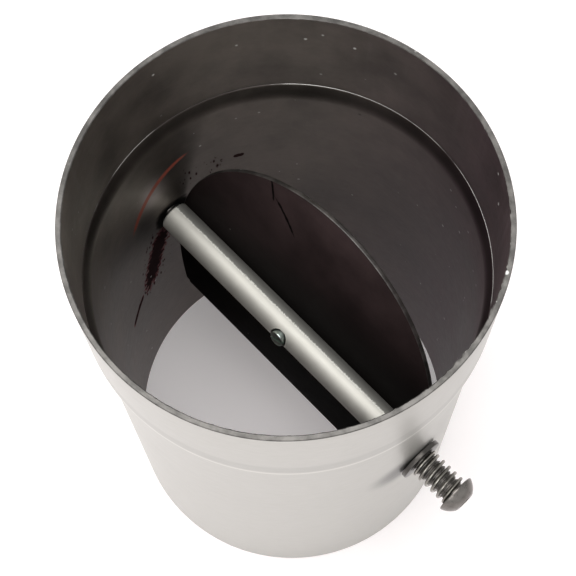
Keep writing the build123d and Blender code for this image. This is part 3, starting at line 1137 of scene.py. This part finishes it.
class DAMPER_OT_shaft(bpy.types.Operator):
    """Build the shaft: a drawn bar with a flat for the blade and tapped ends"""

    bl_idname = "damper.shaft"
    bl_label = "Shaft"

    def ring(self, bm, x, radius):
        """One section of the bar, cut off at the flat that the blade lies on."""
        opening = atan2(sqrt(radius ** 2 - flat_height ** 2), flat_height)
        start = -pi / 2 + opening
        sweep = 2 * pi - 2 * opening
        steps = 120
        ring = []
        for i in range(steps + 1):
            angle = start + sweep * i / steps
            ring.append(bm.verts.new((x, radius * cos(angle), radius * sin(angle))))
        return ring

    def execute(self, context):
        finish = context.scene.damper_finish
        bm = bmesh.new()
        stations = [
            (shaft_left_end, shaft_radius - shaft_chamfer),
            (shaft_left_end + shaft_chamfer, shaft_radius),
            (shaft_right_end - shaft_chamfer, shaft_radius),
            (shaft_right_end, shaft_radius - shaft_chamfer),
        ]
        rings = [self.ring(bm, x, radius) for x, radius in stations]
        for low, high in zip(rings, rings[1:]):
            count = len(low)
            for i in range(count):
                j = (i + 1) % count
                bm.faces.new((low[i], low[j], high[j], high[i]))
        bm.faces.new(rings[0])
        bm.faces.new(rings[-1])
        mesh = as_mesh(bm, "shaft", off_blade)
        painted(mesh, material_named("bright_bar", bright_steel, finish))
        tapped = thread_core_radius + thread_play
        depth = thread_engagement + 3 * MM
        hole = blade_screw_radius + screw_clearance
        cuts = [
            (along_shaft, tapped, shaft_left_end - MM, shaft_left_end + depth),
            (along_shaft, tapped, shaft_right_end - depth, shaft_right_end + MM),
            (off_blade, hole, -shaft_radius * 2, shaft_radius * 2),
            (off_blade, spot_face_radius, blade_screw_seat, shaft_radius * 2),
        ]
        for cut in cuts:
            mesh = drilled(mesh, *cut)
        finished("shaft_bar", mesh, "damper", "bright_steel", "damper_shaft", sharp=radians(20))
        return {"FINISHED"}


class DAMPER_OT_blade_fastener(bpy.types.Operator):
    """Build the slotted screw and nut that hold the blade to the shaft"""

    bl_idname = "damper.blade_fastener"
    bl_label = "Blade screw and nut"

    def execute(self, context):
        finish = context.scene.damper_finish
        zinc = material_named("zinc_plate", zinc_steel, finish)
        radius, height = blade_screw_head
        width, depth = blade_screw_slot
        seat = blade_screw_seat
        top = seat + height
        edge = 0.5 * MM
        outline = [(-blade_screw_end, 0, 0), (-blade_screw_end, blade_screw_radius - 0.4 * MM, 0)]
        outline += [(-blade_screw_end + 0.4 * MM, blade_screw_radius, 0), (seat, blade_screw_radius, 0)]
        outline += [(seat, radius - 0.15 * MM, 0), (seat + 0.15 * MM, radius, 0)]
        for i in range(7):
            turn = pi / 2 * i / 6
            outline.append((top - edge + edge * sin(turn), radius - edge + edge * cos(turn), 0))
        outline.append((top, 0, 0))
        mesh = painted(turned("screw", outline, off_blade, segments=64), zinc)
        slot = bmesh.new()
        bmesh.ops.create_cube(slot, size=1)
        shape = Matrix.Diagonal((radius * 3, width, depth * 2, 1))
        across = Matrix.Translation((0, 0, top)) @ Matrix.Rotation(blade_screw_turn, 4, "Z")
        cutter = as_mesh(slot, "slot", off_blade @ across @ shape)
        mesh = combined(mesh, cutter, "DIFFERENCE")
        finished("blade_screw_slotted", mesh, "damper", "zinc_steel", "blade_screw")
        nut = hexagon(blade_nut_flats, -blade_back - blade_nut_height, -blade_back, off_blade, zinc)
        nut = drilled(nut, off_blade, blade_screw_radius + thread_play, -20 * MM, 0, segments=48)
        finished("blade_nut_hex", nut, "damper", "zinc_steel", "blade_nut")
        return {"FINISHED"}


def hexagon(flats, low, high, matrix, material):
    """A nut's hexagon, with its corners taken off at both ends by 30 degrees."""
    corner = flats / 2 / cos(pi / 6) + 0.01 * MM
    face = flats / 2 * 0.97
    drop = (corner - face) * 0.577
    outline = [(low, 0, 0), (low, face, 0), (low + drop, corner, 0)]
    outline += [(high - drop, corner, 0), (high, face, 0), (high, 0, 0)]
    blank = painted(prism("hexagon", 6, flats, low, high, matrix), material)
    return combined(blank, turned("drum", outline, matrix, 96), "INTERSECT")


class DAMPER_OT_friction_set(bpy.types.Operator):
    """Build the washer, spring and button-head screw that hold the blade's angle"""

    bl_idname = "damper.friction_set"
    bl_label = "Friction set"

    def execute(self, context):
        sizes = context.scene.damper_sizes
        finish = context.scene.damper_finish
        dark = material_named("black_oxide", black_steel, finish)
        # Painted shade on the washer and the screw's shank, where the head and spring shade them.
        shaded = material_named("shaded_oxide", painted_shade_black_steel, finish)
        wire = material_named("spring_wire", wire_steel, finish)
        finished(
            "washer_under_spring",
            painted(washer_mesh(washer_start, along_shaft), shaded),
            "damper", "dark_steel", "friction_washer",
        )
        values = {
            "Turns": sizes.spring_turns,
            "Pitch": sizes.spring_pitch,
            "Dead Turns": 1.0,
            "Dead Pitch": spring_wire + coil_end_gap,
            "Coil Radius": spring_radius,
            "Start Angle": radians(-90),
            "Wire Width": spring_wire * 0.995,
            "Wire Height": spring_wire * 0.995,
            "Corner": spring_wire * 0.497,
            "Steps": 420,
            "Material": wire,
        }
        coil = wound(values, along_shaft, spring_start + spring_wire / 2)
        finished("spring_coil", coil, "damper", "spring_steel", "friction_spring")

        core_end = shaft_right_end - thread_engagement
        stations = [((0, 0, core_end), thread_core_radius), ((0, 0, shaft_right_end), thread_core_radius)]
        stations += straight(shaft_right_end + 0.01 * MM, head_start + 0.2 * MM, thread_radius, 0.12 * MM)
        shank = rod("shank", stations, 48, along_shaft)
        shank = threaded(shank, thread_engagement, 1.0, sizes, shaded)
        head = combined(painted(self.head(), dark), self.hex_socket(), "DIFFERENCE")
        mesh = combined(head, shank, "UNION")
        finished("friction_screw_button", mesh, "damper", "dark_steel", "friction_screw")
        return {"FINISHED"}

    def head(self):
        """The low domed head, with a plain edge and a flat on its crown."""
        edge_round = 0.25 * MM
        top = head_end - head_start
        outline = [(0, 0, 0), (0, head_radius - edge_round, 0), (edge_round, head_radius, 0)]
        steps = 24
        for i in range(steps + 1):
            share = i / steps
            turn = share * pi / 2 * 0.72
            reach = (1 - cos(turn)) / (1 - cos(pi / 2 * 0.72))
            rise = sin(turn) / sin(pi / 2 * 0.72)
            radius = head_radius - (head_radius - head_flat_radius) * (0.6 * share + 0.4 * reach)
            outline.append((head_edge + (top - head_edge) * rise, radius, 0))
        outline.append((top, 0, 0))
        return turned("head", outline, along_shaft @ Matrix.Translation((0, 0, head_start)), 96)

    def hex_socket(self):
        """The key's hexagonal hollow."""
        return prism("socket", 6, socket_flats, head_end - socket_hollow, head_end + MM, along_shaft)


def washer_mesh(start, matrix):
    """A stamped flat washer, rolled over on one side."""
    roll = 0.35 * MM
    burr = 0.1 * MM
    end = start + washer_thickness
    outline = [
        (start, washer_hole_radius + burr, 0),
        (start, washer_radius - burr, 0),
        (start + burr, washer_radius, 0),
        (end - roll, washer_radius, 0),
        (end - roll * 0.3, washer_radius - roll * 0.3, 0),
        (end, washer_radius - roll, 0),
        (end, washer_hole_radius + roll, 0),
        (end - roll, washer_hole_radius, 0),
        (start + burr, washer_hole_radius, 0),
    ]
    return turned("washer", outline, matrix, 120, closed=True)


class DAMPER_OT_handle(bpy.types.Operator):
    """Build the bent rod, washer, wound grip and cap nut of the handle"""

    bl_idname = "damper.handle"
    bl_label = "Handle"

    def rod_stations(self):
        """Stations of the rod from its tapped end, out through the wall, round the bend and down."""
        reach = -lever_offset
        thread_end = reach + handle_bend + MM
        step = 0.12 * MM
        stations = [((shaft_left_end + thread_engagement, 0, 0), thread_core_radius)]
        stations += [((shaft_left_end, 0, 0), thread_core_radius)]
        for (_, _, along), radius in straight(0, shaft_left_end - thread_end, thread_radius, step):
            stations.append(((shaft_left_end - 0.01 * MM - along, 0, 0), radius))
        for i in range(1, 25):
            turn = pi / 2 * i / 24
            point = (reach + handle_bend - handle_bend * sin(turn), 0, handle_bend - handle_bend * cos(turn))
            stations.append((point, thread_radius))
        for (_, _, along), radius in straight(handle_bend + MM, grip_end, thread_radius, step * 10):
            stations.append(((reach, 0, along), radius))
        stations.append(((reach, 0, grip_end + 0.01 * MM), thread_core_radius))
        stations.append(((reach, 0, grip_end + cap_nut_bore - 3 * MM), thread_core_radius))
        return stations

    def execute(self, context):
        sizes = context.scene.damper_sizes
        finish = context.scene.damper_finish
        dark = material_named("black_oxide", black_steel, finish)
        wire = material_named("spring_wire", wire_steel, finish)
        # In this frame X runs along the shaft and Z down the lever.
        bent = placed(shaft_centre, shaft_direction, down_the_lever)
        mesh = rod("rod", self.rod_stations(), 48, bent)
        threaded_end = thread_engagement + (shaft_left_end + lever_offset - handle_bend)
        mesh = threaded(mesh, thread_engagement, threaded_end, sizes, dark)
        finished("handle_rod_bent", mesh, "damper", "dark_steel", "handle_rod")
        finished(
            "washer_under_grip",
            painted(washer_mesh(grip_washer_start, along_lever), dark),
            "damper", "dark_steel", "grip_washer",
        )
        thickness, width = grip_strip
        rise = grip_length - width - 2 * coil_end_gap
        values = {
            "Turns": rise / sizes.grip_pitch,
            "Pitch": sizes.grip_pitch,
            "Dead Turns": 0.0,
            "Dead Pitch": sizes.grip_pitch,
            "Coil Radius": grip_radius,
            "Start Angle": 0.0,
            "Wire Width": width * 0.995,
            "Wire Height": thickness * 0.995,
            "Corner": thickness * 0.3,
            "Steps": 520,
            "Material": wire,
        }
        coil = wound(values, along_lever, grip_start + coil_end_gap + width / 2)
        finished("grip_wound_strip", coil, "damper", "spring_steel", "grip_coil")
        finished("cap_nut_domed", self.cap_nut(dark), "damper", "dark_steel", "grip_cap_nut")
        return {"FINISHED"}

    def cap_nut(self, material):
        """A hexagon under a round dome, bored for the rod's end."""
        low, high = grip_end, grip_end + cap_nut_hex_height
        mesh = hexagon(cap_nut_flats, low, high, along_lever, material)
        radius = cap_nut_dome_radius
        centre = grip_end + cap_nut_bore
        outline = [(high - MM, 0, 0), (high - MM, radius, 0)]
        for i in range(25):
            turn = pi / 2 * i / 24
            outline.append((centre + radius * sin(turn), radius * cos(turn) if i < 24 else 0, 0))
        mesh = combined(mesh, turned("dome", outline, along_lever, 96), "UNION")
        bore = thread_core_radius + thread_play
        return drilled(mesh, along_lever, bore, low - MM, centre, segments=48)


# ================================================================ stage
class DAMPER_OT_stage(bpy.types.Operator):
    """Build the floor, lamps, room light and camera"""

    bl_idname = "damper.stage"
    bl_label = "Studio"

    def floor(self):
        """A pale floor that stays white to the lens where nothing shades it."""
        bm = bmesh.new()
        bmesh.ops.create_grid(bm, x_segments=1, y_segments=1, size=4)
        mesh = as_mesh(bm, "studio_floor", Matrix.Translation((0, 0, -0.02 * MM)))
        made = bpy.data.objects.new("studio_floor", mesh)
        bpy.context.scene.collection.objects.link(made)
        material = bpy.data.materials.new("studio_floor")
        material.use_nodes = True
        wiring = Wiring(material.node_tree)
        shader = material.node_tree.nodes["Principled BSDF"]
        shader.inputs["Base Color"].default_value = (0.93, 0.89, 0.89, 1)
        shader.inputs["Roughness"].default_value = 0.9
        shader.inputs["Specular IOR Level"].default_value = 0.1
        glow = wiring.add("ShaderNodeEmission", {"Color": (1, 0.98, 0.975, 1), "Strength": 0.15})
        both = wiring.add("ShaderNodeAddShader", {0: shader.outputs[0], 1: glow.outputs[0]})
        seen = seen_directly(wiring)
        choice = wiring.add("ShaderNodeMixShader", {0: seen, 1: shader.outputs[0], 2: both.outputs[0]})
        link(wiring, choice.outputs[0], material.node_tree.nodes["Material Output"].inputs["Surface"])
        mesh.materials.append(material)

    def room(self, studio):
        """White to the lens and in reflections, plain grey light on everything else."""
        world = bpy.data.worlds.new("studio_room")
        world.use_nodes = True
        bpy.context.scene.world = world
        wiring = Wiring(world.node_tree)
        world.node_tree.nodes.clear()
        white = wiring.add("ShaderNodeBackground", {"Color": (1, 1, 1, 1), "Strength": 1.0})
        plain = wiring.add("ShaderNodeBackground", {"Color": (1, 1, 1, 1), "Strength": studio.ambient})
        choice = wiring.add(
            "ShaderNodeMixShader",
            {0: seen_directly(wiring), 1: plain.outputs[0], 2: white.outputs[0]},
        )
        wiring.add("ShaderNodeOutputWorld", {"Surface": choice.outputs[0]})

    def lamp(self, name, power, size, place, target):
        """A square softbox that faces a point."""
        light = bpy.data.lights.new(name, "AREA")
        light.shape = "SQUARE"
        light.size = size
        light.energy = power
        made = bpy.data.objects.new(name, light)
        made.location = place
        made.rotation_euler = (Vector(target) - Vector(place)).to_track_quat("-Z", "Y").to_euler()
        bpy.context.scene.collection.objects.link(made)

    def camera(self, studio):
        """The lens above and beside the friction set, looking down into the duct."""
        data = bpy.data.cameras.new("studio_camera")
        data.sensor_width = 36
        data.lens = studio.lens
        data.clip_start = 0.01
        made = bpy.data.objects.new("studio_camera", data)
        azimuth = studio.camera_azimuth
        back = Vector((sin(azimuth), -cos(azimuth), 0)) * studio.camera_back
        turn = Matrix.Rotation(azimuth, 4, "Z") @ Matrix.Rotation(pi / 2 - studio.camera_dip, 4, "X")
        turn = turn @ Matrix.Rotation(studio.camera_roll, 4, "Z")
        made.matrix_world = Matrix.Translation(back + Vector((0, 0, studio.camera_height))) @ turn
        bpy.context.scene.collection.objects.link(made)
        bpy.context.scene.camera = made

    def execute(self, context):
        studio = context.scene.damper_studio
        self.floor()
        self.room(studio)
        middle = (0, 0, duct_length / 2)
        self.lamp("softbox_over", studio.key_power, 0.9, (-0.05, -0.1, 1.45), middle)
        self.lamp("softbox_left", studio.side_power, 0.7, (-0.9, -0.5, 0.7), middle)
        self.lamp("softbox_front", studio.side_power, 0.7, (0.65, -0.75, 0.9), middle)
        self.camera(studio)
        context.scene.view_settings.view_transform = "Standard"
        return {"FINISHED"}


def seen_directly(wiring):
    """1 for camera, glossy and transmission rays, 0 for others."""
    path = wiring.add("ShaderNodeLightPath").outputs
    seen = wiring.math("MAXIMUM", path["Is Camera Ray"], path["Is Glossy Ray"])
    return wiring.math("MAXIMUM", seen, path["Is Transmission Ray"])


# ================================================================ panel and registration
PIECES = (
    DAMPER_OT_stage,
    DAMPER_OT_duct,
    DAMPER_OT_shaft,
    DAMPER_OT_blade,
    DAMPER_OT_blade_fastener,
    DAMPER_OT_friction_set,
    DAMPER_OT_handle,
)


class DAMPER_PT_sidebar(bpy.types.Panel):
    """Lists the damper's pieces and settings"""

    bl_idname = "DAMPER_PT_sidebar"
    bl_label = "Damper"
    bl_space_type = "VIEW_3D"
    bl_region_type = "UI"
    bl_category = "Damper"

    def draw(self, context):
        for piece in PIECES:
            self.layout.operator(piece.bl_idname)
        for group in ("damper_sizes", "damper_finish", "damper_studio"):
            settings = getattr(context.scene, group)
            for name in settings.__annotations__:
                self.layout.prop(settings, name)


SETTINGS = {
    "damper_sizes": DamperSizes,
    "damper_finish": DamperFinish,
    "damper_studio": DamperStudio,
}
CLASSES = (*SETTINGS.values(), *PIECES, DAMPER_PT_sidebar)


def register():
    for made in CLASSES:
        bpy.utils.register_class(made)
    for name, group in SETTINGS.items():
        setattr(bpy.types.Scene, name, PointerProperty(type=group))


def unregister():
    for name in SETTINGS:
        delattr(bpy.types.Scene, name)
    for made in reversed(CLASSES):
        bpy.utils.unregister_class(made)


def main():
    """Register the add-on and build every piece."""
    register()
    for piece in PIECES:
        group, name = piece.bl_idname.split(".")
        getattr(getattr(bpy.ops, group), name)()


if __name__ == "__main__":
    main()
